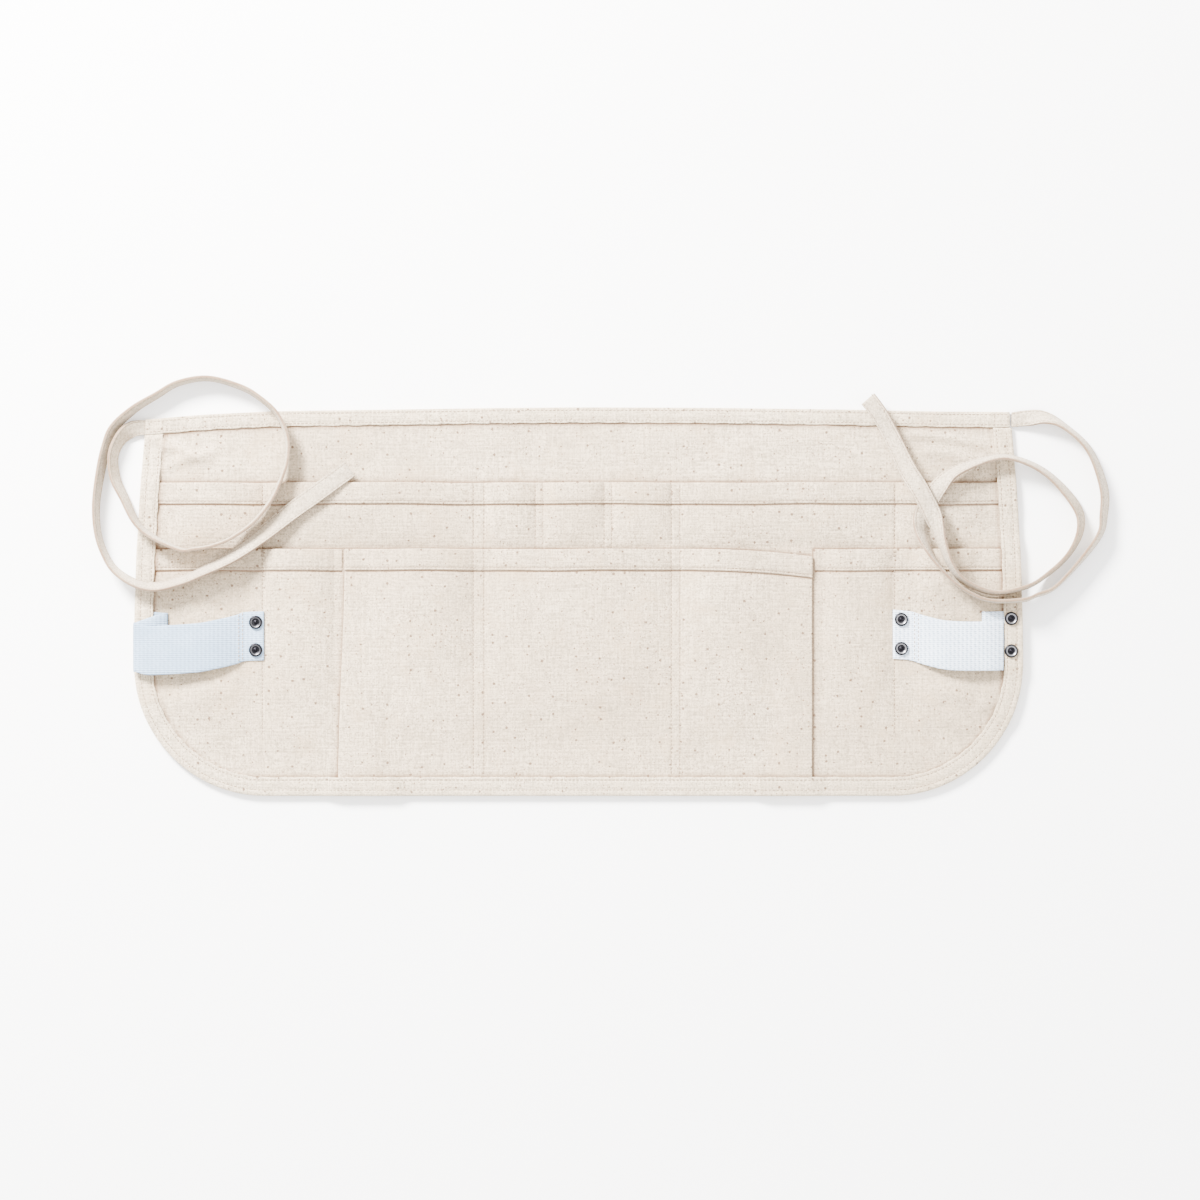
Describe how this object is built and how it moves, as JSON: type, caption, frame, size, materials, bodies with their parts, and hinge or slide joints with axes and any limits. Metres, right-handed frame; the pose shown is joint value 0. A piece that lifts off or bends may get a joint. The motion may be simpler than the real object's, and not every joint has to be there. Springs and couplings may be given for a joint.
{
  "type": "carpenter nail apron",
  "caption": "Waist apron of natural cotton canvas with two rows of nail and tool pockets, a riveted webbing hammer loop at each side, a bound edge and loose ties, lying flat.",
  "frame": {"origin": "centre of the apron's outline, on the surface that it lies on, with the free ties left out", "axes": "+X across the apron towards its right side as seen from the front, +Y towards the waistband, +Z out of the front, up from the surface"},
  "size_m": [0.8138, 0.3361, 0.0273],
  "materials": {
    "canvas": "matte",
    "webbing": "matte",
    "tape": "matte",
    "nickel": "black nickel"
  },
  "bodies": {
    "root": {"back_panel": "canvas", "upper_pocket_panel": "canvas", "side_pocket_left": "canvas", "side_pocket_right": "canvas", "nail_pocket": "canvas", "edge_binding": "canvas", "waistband": "canvas", "hammer_loop_left": "webbing", "hammer_loop_right": "webbing", "rivet_inner_left_upper": "nickel", "rivet_inner_left_lower": "nickel", "rivet_inner_right_upper": "nickel", "rivet_inner_right_lower": "nickel", "rivet_outer_left_upper": "nickel", "rivet_outer_left_lower": "nickel", "rivet_outer_right_upper": "nickel", "rivet_outer_right_lower": "nickel", "tie_left": "tape", "tie_right": "tape"}
  },
  "joints": []
}
